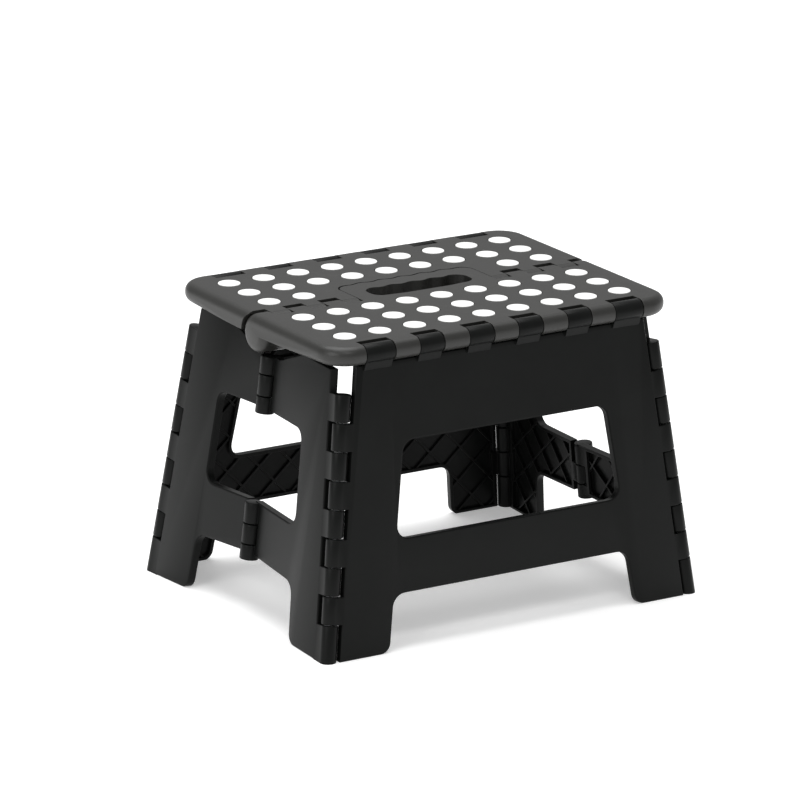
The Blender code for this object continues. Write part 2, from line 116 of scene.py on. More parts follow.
def roundCorners(shape, points, corners, steps):
    for index, (a, b, radius) in enumerate(corners):
        if radius == 0.0:
            continue
        here = Vector((a, b))
        before = Vector(corners[index - 1][:2]) - here
        after = Vector(corners[(index + 1) % len(corners)][:2]) - here
        tangent = radius / math.tan(before.angle(after) / 2.0)
        bmesh.ops.bevel(shape, geom=[points[index]], offset=tangent, offset_type="OFFSET", segments=steps,
                        profile=0.5, affect="VERTICES", clamp_overlap=False, material=-1)


def slabShape(corners, low, high, steps=6):
    shape = bmesh.new()
    points = [shape.verts.new((a, b, low)) for a, b, radius in corners]
    shape.faces.new(points)
    roundCorners(shape, points, corners, steps)
    swept = bmesh.ops.extrude_face_region(shape, geom=shape.faces[:])
    moved = [item for item in swept["geom"] if isinstance(item, bmesh.types.BMVert)]
    bmesh.ops.translate(shape, verts=moved, vec=(0.0, 0.0, high - low))
    bmesh.ops.recalc_face_normals(shape, faces=shape.faces)
    return shape


def atHeight(shape, height, keep=None):
    # edges that lie flat at that height, and that keep says yes to
    found = []
    for edge in shape.edges:
        flat = all(abs(vert.co.z - height) < 0.001 for vert in edge.verts)
        if flat and (keep is None or keep(*edge.verts)):
            found.append(edge)
    return found


def slab(corners, low, high, place=level, soft=0.0, steps=6):
    shape = slabShape(corners, low, high, steps)
    if soft:
        bevelEdges(shape, atHeight(shape, low), soft, 3)
    return placed(shape, place)


def placed(shape, place):
    bmesh.ops.transform(shape, matrix=place, verts=shape.verts)
    bmesh.ops.recalc_face_normals(shape, faces=shape.faces)
    return workPiece(shape)


def sharpCorners(points):
    return [(a, b, 0.0) for a, b in points]


def block(low, high, place=level):
    outline = [(low[0], low[1]), (high[0], low[1]), (high[0], high[1]), (low[0], high[1])]
    return slab(sharpCorners(outline), low[2], high[2], place)


def rod(start, finish, radius, sides=40, roundStart=0.0, roundEnd=0.0):
    line = Vector(finish) - Vector(start)
    shape = bmesh.new()
    bmesh.ops.create_cone(shape, cap_ends=True, segments=sides, radius1=radius, radius2=radius,
                          depth=line.length)
    for height, size in ((-line.length / 2, roundStart), (line.length / 2, roundEnd)):
        if size:
            bevelEdges(shape, atHeight(shape, height), size, 5 if size > 2.0 else 3)
    turned = line.to_track_quat("Z", "Y").to_matrix().to_4x4()
    return placed(shape, Matrix.Translation((Vector(start) + Vector(finish)) / 2.0) @ turned)


def xRod(low, high, y, z, radius, sides=40, roundLow=0.0, roundHigh=0.0):
    return rod((low, y, z), (high, y, z), radius, sides, roundLow, roundHigh)


def combine(target, others, how):
    # applies one Boolean of all the other pieces to the target, and removes them
    group = bpy.data.collections.new("operands")
    for other in others:
        group.objects.link(other)
    modifier = target.modifiers.new("combine", "BOOLEAN")
    modifier.operation = how
    modifier.operand_type = "COLLECTION"
    modifier.collection = group
    modifier.solver = "EXACT"
    modifier.use_self = how == "UNION"
    graph = bpy.context.evaluated_depsgraph_get()
    result = bpy.data.meshes.new_from_object(target.evaluated_get(graph))
    target.modifiers.remove(modifier)
    old = target.data
    target.data = result
    bpy.data.meshes.remove(old)
    for other in others:
        mesh = other.data
        bpy.data.objects.remove(other)
        bpy.data.meshes.remove(mesh)
    bpy.data.collections.remove(group)


def span(sign, low, high):
    return sorted((sign * low, sign * high))


def finishPiece(piece, name, material, body, nodes):
    shape = bmesh.new()
    shape.from_mesh(piece.data)
    bmesh.ops.remove_doubles(shape, verts=shape.verts, dist=0.00002)
    bmesh.ops.dissolve_degenerate(shape, edges=shape.edges, dist=0.00002)
    bmesh.ops.dissolve_limit(shape, angle_limit=0.002, verts=shape.verts, edges=shape.edges)
    bmesh.ops.recalc_face_normals(shape, faces=shape.faces)
    shape.to_mesh(piece.data)
    shape.free()
    piece.name = name
    piece.data.name = name
    piece.data.materials.clear()
    piece.data.materials.append(material)
    piece.data.shade_smooth()
    piece.data.set_sharp_from_angle(angle=math.radians(32.0))
    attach(piece, body)
    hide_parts(*nodes)
    return piece


# finishes
def nodeOf(tree, kind, **values):
    node = tree.nodes.new(kind)
    for name, value in values.items():
        if name in node.inputs:
            node.inputs[name].default_value = value
        else:
            setattr(node, name, value)
    return node


def mapRange(tree, source, low, high, toLow, toHigh):
    node = tree.nodes.new("ShaderNodeMapRange")
    tree.links.new(source, node.inputs["Value"])
    for name, value in (("From Min", low), ("From Max", high), ("To Min", toLow), ("To Max", toHigh)):
        node.inputs[name].default_value = value
    return node.outputs["Result"]


def mouldedPlastic(name, look):
    # satin plastic: fine spark-eroded grain, cloudy gloss, and faint rubbed patches
    material = bpy.data.materials.new(name)
    material.use_nodes = True
    tree = material.node_tree
    shader = tree.nodes["Principled BSDF"]
    shader.inputs["Specular IOR Level"].default_value = look["specular"]
    coordinates = tree.nodes.new("ShaderNodeTexCoord").outputs["Object"]
    grain = nodeOf(tree, "ShaderNodeTexNoise", Scale=look["grainScale"], Detail=3.0, Roughness=0.6)
    cloud = nodeOf(tree, "ShaderNodeTexNoise", Scale=look["cloudScale"], Detail=5.0, Roughness=0.65)
    rub = nodeOf(tree, "ShaderNodeTexNoise", Scale=look["rubScale"], Detail=6.0, Roughness=0.7,
                 Distortion=0.6)
    for texture in (grain, cloud, rub):
        tree.links.new(coordinates, texture.inputs["Vector"])
    tone = tree.nodes.new("ShaderNodeValToRGB")
    tone.color_ramp.elements[0].position = 0.35
    tone.color_ramp.elements[0].color = (*[value * 0.82 for value in look["colour"]], 1.0)
    tone.color_ramp.elements[1].position = 0.68
    tone.color_ramp.elements[1].color = (*[value * 1.16 for value in look["colour"]], 1.0)
    tree.links.new(cloud.outputs["Fac"], tone.inputs["Fac"])
    tree.links.new(tone.outputs["Color"], shader.inputs["Base Color"])
    base = mapRange(tree, cloud.outputs["Fac"], 0.3, 0.7, look["roughness"] - 0.03, look["roughness"] + 0.03)
    worn = mapRange(tree, rub.outputs["Fac"], 0.56, 0.72, 0.0, -0.05)
    total = nodeOf(tree, "ShaderNodeMath", operation="ADD")
    tree.links.new(base, total.inputs[0])
    tree.links.new(worn, total.inputs[1])
    tree.links.new(total.outputs["Value"], shader.inputs["Roughness"])
    edge = nodeOf(tree, "ShaderNodeBevel", samples=6, Radius=look["edgeRadius"])
    bump = nodeOf(tree, "ShaderNodeBump", Strength=look["grainStrength"], Distance=0.00012)
    tree.links.new(grain.outputs["Fac"], bump.inputs["Height"])
    tree.links.new(edge.outputs["Normal"], bump.inputs["Normal"])
    tree.links.new(bump.outputs["Normal"], shader.inputs["Normal"])
    return material


def rubberFinish(name, look):
    material = bpy.data.materials.new(name)
    material.use_nodes = True
    tree = material.node_tree
    shader = tree.nodes["Principled BSDF"]
    shader.inputs["Specular IOR Level"].default_value = look["specular"]
    coordinates = tree.nodes.new("ShaderNodeTexCoord").outputs["Object"]
    grain = nodeOf(tree, "ShaderNodeTexNoise", Scale=look["grainScale"], Detail=4.0, Roughness=0.6)
    cloud = nodeOf(tree, "ShaderNodeTexNoise", Scale=look["cloudScale"], Detail=4.0, Roughness=0.6)
    for texture in (grain, cloud):
        tree.links.new(coordinates, texture.inputs["Vector"])
    tone = tree.nodes.new("ShaderNodeValToRGB")
    tone.color_ramp.elements[0].position = 0.3
    tone.color_ramp.elements[0].color = (*[value * 0.97 for value in look["colour"]], 1.0)
    tone.color_ramp.elements[1].position = 0.7
    tone.color_ramp.elements[1].color = (*look["colour"], 1.0)
    tree.links.new(cloud.outputs["Fac"], tone.inputs["Fac"])
    tree.links.new(tone.outputs["Color"], shader.inputs["Base Color"])
    rough = mapRange(tree, cloud.outputs["Fac"], 0.3, 0.7, look["roughness"] - 0.05, look["roughness"] + 0.05)
    tree.links.new(rough, shader.inputs["Roughness"])
    bump = nodeOf(tree, "ShaderNodeBump", Strength=look["grainStrength"], Distance=0.0001)
    tree.links.new(grain.outputs["Fac"], bump.inputs["Height"])
    tree.links.new(bump.outputs["Normal"], shader.inputs["Normal"])
    return material


def drawnSteel(name, look):
    # wire with fine drawing lines along its length
    material = bpy.data.materials.new(name)
    material.use_nodes = True
    tree = material.node_tree
    shader = tree.nodes["Principled BSDF"]
    shader.inputs["Metallic"].default_value = 1.0
    coordinates = tree.nodes.new("ShaderNodeTexCoord").outputs["Object"]
    stretch = nodeOf(tree, "ShaderNodeMapping")
    stretch.inputs["Scale"].default_value = look["stretch"]
    tree.links.new(coordinates, stretch.inputs["Vector"])
    lines = nodeOf(tree, "ShaderNodeTexNoise", Scale=look["lineScale"], Detail=3.0, Roughness=0.6)
    tree.links.new(stretch.outputs["Vector"], lines.inputs["Vector"])
    tone = tree.nodes.new("ShaderNodeValToRGB")
    tone.color_ramp.elements[0].color = (*[value * 0.8 for value in look["colour"]], 1.0)
    tone.color_ramp.elements[1].color = (*look["colour"], 1.0)
    tree.links.new(lines.outputs["Fac"], tone.inputs["Fac"])
    tree.links.new(tone.outputs["Color"], shader.inputs["Base Color"])
    rough = mapRange(tree, lines.outputs["Fac"], 0.3, 0.7, look["roughness"], look["roughness"] + 0.12)
    tree.links.new(rough, shader.inputs["Roughness"])
    return material


deckPlastic = mouldedPlastic("deckPlastic", {
    "colour": (0.0130, 0.0129, 0.0114), "specular": 0.46, "roughness": 0.42, "edgeRadius": 0.0005,
    "grainScale": 1400.0, "grainStrength": 0.35, "cloudScale": 28.0, "rubScale": 55.0})
panelPlastic = mouldedPlastic("panelPlastic", {
    "colour": (0.0042, 0.0046, 0.0043), "specular": 0.11, "roughness": 0.34, "edgeRadius": 0.0006,
    "grainScale": 1200.0, "grainStrength": 0.3, "cloudScale": 22.0, "rubScale": 45.0})
gripRubber = rubberFinish("gripRubber", {
    "colour": (0.86, 0.86, 0.85), "specular": 0.3, "roughness": 0.6,
    "grainScale": 1500.0, "grainStrength": 0.25, "cloudScale": 120.0})
pinSteel = drawnSteel("pinSteel", {
    "colour": (0.55, 0.56, 0.58), "roughness": 0.22, "lineScale": 600.0, "stretch": (0.05, 1.0, 0.3)})
print("finishes made")


# deck
deck = {
    "halfLength": boxMm("front_deck")[1].x,
    "halfWidth": -boxMm("front_deck")[0].y,
    "top": boxMm("front_deck")[1].z,
    "bottom": jointPoint("seam_hinge").z,
    "cornerRadius": 22.0,
    "rimRadius": 6.4,
    "skin": 3.0,
    "wall": 3.0,
    "ribHalf": 0.8,
    "cutLow": 190.0,
    "cutHigh": 230.0,
}
seam = {
    "axisZ": jointPoint("seam_hinge").z,
    "radius": 14.0,
    "clear": 0.6,
    "notchReach": 8.3,
    "wallY": 17.5,
    "lugEdges": (56.3, 69.3, 84.3, 98.0, 113.2, 127.9),
    "gap": 0.5,
    "boreEnds": (44.0, 141.3),
    "boreRadius": 2.3,
}
edgeHinge = {
    "y": -jointPoint("fold").y,
    "z": jointPoint("fold").z,
    "radius": 7.0,
    "knuckles": ((10.3, 30.5), (51.7, 71.5), (92.0, 115.5)),
    "pocketY": 93.3,
    "gap": 0.5,
    "web": ((106.2, 210.0), (102.75, 201.5), (95.3, 201.5), (95.3, 211.0)),
    "boreHalf": 127.3,
    "boreRadius": 2.05,
}
handle = {
    "half": 55.9,
    "rear": 30.6,
    "cornerRadius": 9.0,
    "notchPlay": 0.5,
    "notchRear": 32.0,
    "slotHalf": 42.0,
    "slotFront": -5.4,
    "slotRear": 16.6,
    "slotCorner": 8.5,
    "slotBow": 2.4,
    "slotBowShare": 0.45,
    "slotBowRadius": 30.0,
    "wavePitch": 17.0,
    "waveHeight": 1.0,
    "lugInner": 45.0,
}
dots = {
    "pitch": 28.76,
    "rows": (22.9, 50.0, 77.4),
    "radius": 8.05,
    "ring": 0.62,
    "ringDepth": 0.7,
    "proud": 0.3,
    "runnerHalf": 3.0,
    "runnerLow": 214.6,
}


def lugSpans(isFront):
    edges = seam["lugEdges"]
    if isFront:
        return [(edges[1], edges[2]), (edges[3], edges[4]), (edges[5], deck["halfLength"])]
    return [(edges[0], edges[1]), (edges[2], edges[3]), (edges[4], edges[5])]


def wavyEdge(half, y, count):
    # points from +half to -half along the scalloped edge
    points = []
    for step in range(count + 1):
        x = half - 2.0 * half * step / count
        wave = math.cos(2.0 * math.pi * x / handle["wavePitch"])
        points.append((x, y + handle["waveHeight"] * wave, 0.0))
    return points


def deckSlab(side):
    half, width, corner = deck["halfLength"], side * deck["halfWidth"], deck["cornerRadius"]
    outline = [(-half, 0.0, 0.0), (half, 0.0, 0.0), (half, width, corner), (-half, width, corner)]
    shape = slabShape(outline, deck["bottom"], deck["top"], 10)
    curved = deck["halfWidth"] - corner - 0.01

    def onRim(first, second):
        return abs(first.co.y) + abs(second.co.y) > 0.01

    def onFrontRim(first, second):
        return min(abs(first.co.y), abs(second.co.y)) > curved

    bevelEdges(shape, atHeight(shape, deck["top"], onRim), deck["rimRadius"], 8)
    bevelEdges(shape, atHeight(shape, deck["bottom"], onFrontRim), deck["rimRadius"], 8)
    return placed(shape, level)


def seamLugs(isFront):
    pieces = []
    for low, high in lugSpans(isFront):
        outermost = high == deck["halfLength"]
        for sign in (1, -1):
            low2, high2 = span(sign, low + seam["gap"] / 2, high - (0.0 if outermost else seam["gap"] / 2))
            rounds = [0.0, 0.0]
            if outermost:
                rounds[0 if sign < 0 else 1] = deck["rimRadius"]
            pieces.append(xRod(low2, high2, 0.0, seam["axisZ"], seam["radius"] - sunk, 64, *rounds))
    return pieces


def seamClearances(side):
    pieces = []
    for low, high in lugSpans(side > 0):
        reach = high + (seam["gap"] / 2 if high < deck["halfLength"] else 6.0)
        for sign in (1, -1):
            low2, high2 = span(sign, low - seam["gap"] / 2, reach)
            pieces.append(xRod(low2, high2, 0.0, seam["axisZ"], seam["radius"] + seam["clear"], 64))
            back, front = span(side, -3.0, seam["notchReach"])
            pieces.append(block((low2, back, deck["cutLow"]), (high2, front, deck["cutHigh"])))
    return pieces


def handleTongue():
    outline = [(-handle["half"], -1.0, 0.0), (handle["half"], -1.0, 0.0),
               (handle["half"], handle["rear"], handle["cornerRadius"])]
    outline += wavyEdge(handle["half"] - handle["cornerRadius"] - 2.0, handle["rear"], 48)
    outline.append((-handle["half"], handle["rear"], handle["cornerRadius"]))
    return slab(outline, deck["bottom"], deck["top"], level, 0.0, 8)


def handleNotch():
    half = handle["half"] + handle["notchPlay"]
    outline = [(-half, -3.0, 0.0), (half, -3.0, 0.0), (half, handle["notchRear"], handle["cornerRadius"])]
    outline += wavyEdge(half - handle["cornerRadius"] - 2.0, handle["notchRear"], 48)
    outline.append((-half, handle["notchRear"], handle["cornerRadius"]))
    return slab(outline, deck["cutLow"], deck["cutHigh"], level, 0.0, 8)


def handSlot():
    half, corner = handle["slotHalf"], handle["slotCorner"]
    front, bow = handle["slotFront"], handle["slotBowRadius"]
    inner = half * handle["slotBowShare"]
    outline = [(-half, front + handle["slotBow"], corner), (-inner, front, bow), (inner, front, bow),
               (half, front + handle["slotBow"], corner), (half, handle["slotRear"], corner)]
    outline += wavyEdge(half - corner - 2.0, handle["slotRear"], 40)
    outline.append((-half, handle["slotRear"], corner))
    return slab(outline, deck["cutLow"], deck["cutHigh"], level, 0.0, 8)


def hollowCells(side):
    # pockets under the skin, between crossing ribs
    inner = deck["halfLength"] - deck["wall"]
    ribs = [(step + 0.5) * dots["pitch"] for step in range(-5, 5)]
    edges = [-inner] + ribs + [inner]
    rows = [seam["wallY"]] + [(a + b) / 2 for a, b in zip(dots["rows"], dots["rows"][1:])]
    rows.append(edgeHinge["pocketY"] - deck["wall"])
    ceiling = deck["top"] - deck["skin"]
    cells = []
    for left, right in zip(edges, edges[1:]):
        for near, far in zip(rows, rows[1:]):
            low = [left + deck["ribHalf"], near + deck["ribHalf"]]
            high = [right - deck["ribHalf"], far - deck["ribHalf"]]
            if side > 0 and min(abs(left), abs(right)) < handle["half"]:
                low[1] = max(low[1], handle["notchRear"] + handle["waveHeight"] + deck["wall"])
                if max(abs(left), abs(right)) > handle["half"] and near < handle["notchRear"]:
                    outer = handle["half"] + handle["notchPlay"] + deck["wall"]
                    sign = 1 if right > 0 else -1
                    ends = span(sign, outer, max(abs(left), abs(right)) - deck["ribHalf"])
                    y = span(side, near + deck["ribHalf"], far - deck["ribHalf"])
                    cells.append(block((ends[0], y[0], deck["cutLow"]), (ends[1], y[1], ceiling)))
                    inside = span(sign, min(abs(left), abs(right)) + deck["ribHalf"], outer - deck["wall"])
                    low[0], high[0] = inside
            y = span(side, low[1], high[1])
            cells.append(block((low[0], y[0], deck["cutLow"]), (high[0], y[1], ceiling)))
    return cells


def knucklePockets(side):
    pieces = []
    for low, high in edgeHinge["knuckles"]:
        for sign in (1, -1):
            ends = span(sign, low - edgeHinge["gap"], high + edgeHinge["gap"])
            y = span(side, edgeHinge["pocketY"], deck["halfWidth"] + 4.0)
            pieces.append(block((ends[0], y[0], deck["cutLow"]), (ends[1], y[1], deck["cutHigh"])))
    return pieces


def dotColumns(side, row):
    if side > 0 and row == dots["rows"][0]:
        return [-4, -3, 3, 4]
    return list(range(-4, 5))


def dotSeats(side):
    pieces = []
    for row in dots["rows"]:
        for column in dotColumns(side, row):
            x, y = column * dots["pitch"], side * row
            pieces.append(rod((x, y, 205.0), (x, y, deck["cutHigh"]), dots["radius"] + 0.1, 40))
            floor = deck["top"] - dots["ringDepth"]
            pieces.append(rod((x, y, floor), (x, y, deck["cutHigh"]), dots["radius"] + dots["ring"], 40))
    return pieces


def edgeBore(side):
    half = edgeHinge["boreHalf"]
    return xRod(-half, half, side * edgeHinge["y"], edgeHinge["z"], edgeHinge["boreRadius"], 24)


def deckHalf(side):
    shell = deckSlab(side)
    combine(shell, seamClearances(side), "DIFFERENCE")
    if side > 0:
        combine(shell, [handleNotch()], "DIFFERENCE")
    combine(shell, knucklePockets(side) + hollowCells(side), "DIFFERENCE")
    adds = seamLugs(side < 0)
    if side < 0:
        adds.append(handleTongue())
        for sign in (1, -1):
            ends = span(sign, handle["lugInner"], handle["half"])
            adds.append(xRod(*ends, 0.0, seam["axisZ"], seam["radius"] - sunk, 64))
    combine(shell, adds, "UNION")
    cuts = dotSeats(side)
    if side < 0:
        cuts.append(handSlot())
        inner = handle["half"] - deck["wall"]
        floor = deck["top"] - deck["skin"]
        near = handle["slotRear"] + handle["waveHeight"] + deck["wall"]
        far = handle["rear"] - handle["waveHeight"] - deck["wall"]
        cuts.append(block((-inner, near, deck["cutLow"]), (inner, far, floor)))
    for sign in (1, -1):
        bore = span(sign, *seam["boreEnds"])
        cuts.append(xRod(*bore, 0.0, seam["axisZ"], seam["boreRadius"], 24))
    cuts.append(edgeBore(side))
    combine(shell, cuts, "DIFFERENCE")
    return shell


for side, half in ((-1, "front"), (1, "rear")):
    finishPiece(deckHalf(side), half + "DeckShell", deckPlastic, half + "_deck",
                [half + "_deck"])
print("deck halves made")


def gripRow(side, row, columns):
    # round caps on one thin runner under the skin
    y = side * row
    low, under = dots["runnerLow"], deck["top"] - deck["skin"] - 0.3
    shape = bmesh.new()
    for column in columns:
        bottom, top = low + 1.0, deck["top"] + dots["proud"]
        place = Matrix.Translation((column * dots["pitch"], y, (bottom + top) / 2.0))
        bmesh.ops.create_cone(shape, cap_ends=True, segments=48, radius1=dots["radius"],
                              radius2=dots["radius"], depth=top - bottom, matrix=place)
    bevelEdges(shape, atHeight(shape, deck["top"] + dots["proud"]), 0.3, 3)
    length = (columns[-1] - columns[0]) * dots["pitch"] + 2.0 * dots["runnerHalf"]
    middle = (columns[-1] + columns[0]) / 2.0 * dots["pitch"]
    place = Matrix.Translation((middle, y, (low + under) / 2.0))
    place @= Matrix.Diagonal((length, 2.0 * dots["runnerHalf"], under - low, 1.0))
    bmesh.ops.create_cube(shape, size=1.0, matrix=place)
    return placed(shape, level)


for side, half in ((-1, "front"), (1, "rear")):
    for number, row in enumerate(dots["rows"]):
        columns = dotColumns(side, row)
        groups = [("", columns)] if len(columns) > 4 else [("_left", columns[:2]), ("_right", columns[2:])]
        for suffix, group in groups:
            node = f"{half}_grip_row_{number + 1}{suffix}"
            finishPiece(gripRow(side, row, group), "dots_" + node, gripRubber,
                        half + "_deck", [node])
print("grip dots made")


# leg panels
legPanel = {
    "baseY": 124.0,
    "skin": 2.9,
    "depth": 5.2,
    "edgeDepth": 5.5,
    "topZ": 205.2,
    "window": ((94.35, 79.0), (84.6, 147.6)),
    "windowFillet": 9.0,
    "cut": ((104.1, 0.0), (98.4, 40.45)),
    "cutFillet": 10.0,
    "footFillet": 8.0,
    "softEdge": 1.1,
    "wall": 2.6,
    "flare": 0.8,
    "flareDepth": 0.55,
    "ribReach": 148.5,
    "ribPitch": 27.0,
    "ribHalf": 0.8,
    "ribHeight": 1.6,
}
cornerHinge = {
    "radius": 6.0,
    "clear": 6.6,
    "levels": (-2.0, 26.0, 46.0, 66.0, 86.0, 106.0, 126.0, 146.0, 166.0, 186.0),
    "gap": 0.45,
    "webReach": 10.8,
    "endRound": 0.6,
    "boreLevels": (5.2, 182.8),
    "boreRadius": 1.8,
}
cornerFoot = jointPoint("right_front_corner_hinge")
cornerLine = Vector(joints["right_front_corner_hinge"]["axis"]).normalized()


def cornerPoint(z):
    # point of the right front corner axis at that height
    return cornerFoot + cornerLine * (z / cornerLine.z)


def legPlace():
    slant = math.atan2(cornerLine.y, cornerLine.z)
    up = Vector((0.0, math.sin(slant), math.cos(slant)))
    inward = Vector((0.0, math.cos(slant), -math.sin(slant)))
    return placeOf(Vector((0.0, -legPanel["baseY"], 0.0)), Vector((1.0, 0.0, 0.0)), up, inward)


leg = legPlace()


def legV(z):
    return z / leg.col[1][2]


def legSide(z, margin):
    return cornerPoint(z).x - margin


def bothSides(half):
    return half + [(-a, b, radius) for a, b, radius in reversed(half)]


def legOutline():
    (footX, footZ), (archX, archZ) = legPanel["cut"]
    margin = cornerHinge["clear"]
    return bothSides([(archX, legV(archZ), legPanel["cutFillet"]),
                      (footX, legV(footZ), legPanel["footFillet"]),
                      (legSide(footZ, margin), legV(footZ), 0.0),
                      (legSide(legPanel["topZ"], margin), legV(legPanel["topZ"]), 0.0)])


def legWindow(grow):
    (lowX, lowZ), (highX, highZ) = legPanel["window"]
    fillet = legPanel["windowFillet"] + grow
    return bothSides([(lowX + grow, legV(lowZ) - grow, fillet), (highX + grow, legV(highZ) + grow, fillet)])


def insetSlab(corners, distance, low, high, place, steps=6):
    # slab whose outline stands inside the given one by the distance
    shape = bmesh.new()
    points = [shape.verts.new((a, b, low)) for a, b, radius in corners]
    shape.faces.new(points)
    roundCorners(shape, points, corners, steps)
    inner = shape.faces[:]
    bmesh.ops.inset_region(shape, faces=inner, thickness=distance, use_even_offset=True,
                           use_boundary=True)
    outer = [face for face in shape.faces if face not in inner]
    bmesh.ops.delete(shape, geom=outer, context="FACES")
    loose = [vert for vert in shape.verts if not vert.link_faces]
    bmesh.ops.delete(shape, geom=loose, context="VERTS")
    swept = bmesh.ops.extrude_face_region(shape, geom=shape.faces[:])
    moved = [item for item in swept["geom"] if isinstance(item, bmesh.types.BMVert)]
    bmesh.ops.translate(shape, verts=moved, vec=(0.0, 0.0, high - low))
    bmesh.ops.recalc_face_normals(shape, faces=shape.faces)
    return placed(shape, place)


def ribPockets(space, look, reach, low, high, place):
    # diamond pockets between crossing ribs, over a box (aLow, bLow, aHigh, bHigh), kept inside the space
    aLow, bLow, aHigh, bHigh = reach
    half = look["ribPitch"] / 2.0
    shape = bmesh.new()
    for row in range(int((bHigh - bLow) / half) + 1):
        for column in range(int((aHigh - aLow) / look["ribPitch"]) + 1):
            middleA = aLow + (column + row % 2 / 2.0) * look["ribPitch"]
            middle = (middleA, bLow + row * half, (low + high) / 2.0)
            size = half - look["ribHalf"] * math.sqrt(2.0)
            bmesh.ops.create_cone(shape, cap_ends=True, segments=4, radius1=size, radius2=size,
                                  depth=high - low, matrix=Matrix.Translation(middle))
    pockets = placed(shape, place)
    combine(pockets, [space], "INTERSECT")
    return pockets


def mirrorPoint(point, xSign, ySign):
    return Vector((point.x * xSign, point.y * ySign, point.z))


def cornerKnuckles(owned, side, xSigns):
    levels = cornerHinge["levels"]
    pairs = zip(levels[1:-1:2], levels[2::2]) if owned == "leg" else zip(levels[0::2], levels[1::2])
    pieces = []
    for low, high in pairs:
        bottom, top = low + cornerHinge["gap"], high - cornerHinge["gap"]
        for sign in xSigns:
            start = mirrorPoint(cornerPoint(bottom), sign, -side)
            finish = mirrorPoint(cornerPoint(top), sign, -side)
            size = cornerHinge["endRound"]
            pieces.append(rod(start, finish, cornerHinge["radius"], 40, size, size))
            reach = cornerHinge["webReach"]
            if owned == "leg":
                web = [(sign * (cornerPoint(z).x - away), legV(z)) for z, away in
                       ((bottom + sunk, 0.0), (top - sunk, 0.0), (top - sunk, reach), (bottom + sunk, reach))]
                place = mirroredPlace(leg, 1, -side)
                pieces.append(slab(sharpCorners(web), sunk, legPanel["edgeDepth"] - sunk, place))
            else:
                v = [(bottom + sunk) / end.col[1][2], (top - sunk) / end.col[1][2]]
                web = [(0.0, v[0]), (0.0, v[1]), (reach, v[1]), (reach, v[0])]
                place = mirroredPlace(end, sign, -side)
                outer = -cornerHinge["radius"]
                pieces.append(slab(sharpCorners(web), outer + sunk, -sunk, place))
    return pieces


def edgeKnuckles(side):
    pieces = []
    for low, high in edgeHinge["knuckles"]:
        for sign in (1, -1):
            ends = span(sign, low + 0.15, high - 0.15)
            axis = side * edgeHinge["y"], edgeHinge["z"]
            pieces.append(xRod(*ends, *axis, edgeHinge["radius"], 48, 0.5, 0.5))
            web = [(side * a, b, 0.0) for a, b in edgeHinge["web"]]
            pieces.append(slab(web, ends[0] + 0.5, ends[1] - 0.5, across))
    return pieces


def floorCut():
    return block((-300.0, -300.0, -50.0), (300.0, 300.0, 0.0))


def cornerBore(xSign, side):
    ends = [mirrorPoint(cornerPoint(z), xSign, -side) for z in cornerHinge["boreLevels"]]
    return rod(*ends, cornerHinge["boreRadius"], 24)


def legShell(side):
    place = mirroredPlace(leg, 1, -side)
    depth = legPanel["depth"]
    outline = legOutline()
    shell = slab(outline, 0.0, depth, place, legPanel["softEdge"])
    windowCut = slab(legWindow(0.0), -5.0, depth + 5.0, place)
    flare = slab(legWindow(legPanel["flare"]), -3.0, legPanel["flareDepth"], place)
    ribTop = legPanel["skin"] + legPanel["ribHeight"]
    hollow = insetSlab(outline, legPanel["wall"], ribTop, depth + 5.0, place)
    space = insetSlab(outline, legPanel["wall"] + 0.3, legPanel["skin"] - 1.0, depth + 4.0, place)
    for part, wall in ((hollow, legPanel["wall"]), (space, legPanel["wall"] + 0.3)):
        combine(part, [slab(legWindow(wall), 0.0, depth + 9.0, place)], "DIFFERENCE")
    reach = (-legPanel["ribReach"], 0.0, legPanel["ribReach"], legV(legPanel["topZ"]))
    pockets = ribPockets(space, legPanel, reach, legPanel["skin"], depth + 7.0, place)
    combine(shell, [hollow, pockets, windowCut, flare], "DIFFERENCE")
    combine(shell, cornerKnuckles("leg", side, (1, -1)) + edgeKnuckles(side), "UNION")
    cuts = [floorCut(), edgeBore(side)]
    cuts += [cornerBore(sign, side) for sign in (1, -1)]
    combine(shell, cuts, "DIFFERENCE")
    return shell


for side, half in ((-1, "front"), (1, "rear")):
    finishPiece(legShell(side), half + "LegShell", panelPlastic, half + "_leg",
                [half + "_leg_panel"])
print("leg panels made")


# end panels
endPanel = {
    "bendDegrees": 4.2,
    "skin": 2.5,
    "depth": 6.0,
    "side": 8.0,
    "foot": 48.5,
    "footFillet": 8.0,
    "arch": ((41.8, 10.0), 45.2),
    "window": ((48.0, 81.5), (45.4, 149.5)),
    "windowMiddle": (83.5, 150.5),
    "windowFillet": 9.0,
    "top": ((14.0, 188.5), (46.0, 201.5)),
    "parting": 0.35,
    "softEdge": 1.0,
    "wall": 2.4,
    "seamWall": 11.0,
    "flare": 0.7,
    "flareDepth": 0.5,
    "ribBox": (0.0, 0.0, 121.5, 205.0),
    "ribPitch": 27.0,
    "ribHalf": 0.7,
    "ribHeight": 2.3,
}
middleHinge = {
    "radius": 6.8,
    "clear": 8.3,
    "upper": (146.5, 159.35, 175.0, 188.5),
    "lower": (40.5, 52.2, 67.0, 82.7),
    "gap": 0.35,
    "endRound": 0.7,
}


def endPlace():
    along = Vector((0.0, 1.0, 0.0))
    along -= cornerLine * along.dot(cornerLine)
    along.normalize()
    along.rotate(Matrix.Rotation(math.radians(endPanel["bendDegrees"]), 3, cornerLine))
    return placeOf(cornerFoot, along, cornerLine, cornerLine.cross(along))


end = endPlace()


def endV(s, z):
    # length up an end panel at which its outer face is z high
    return (z - s * end.col[0][2] + cornerHinge["radius"] * end.col[2][2]) / end.col[1][2]


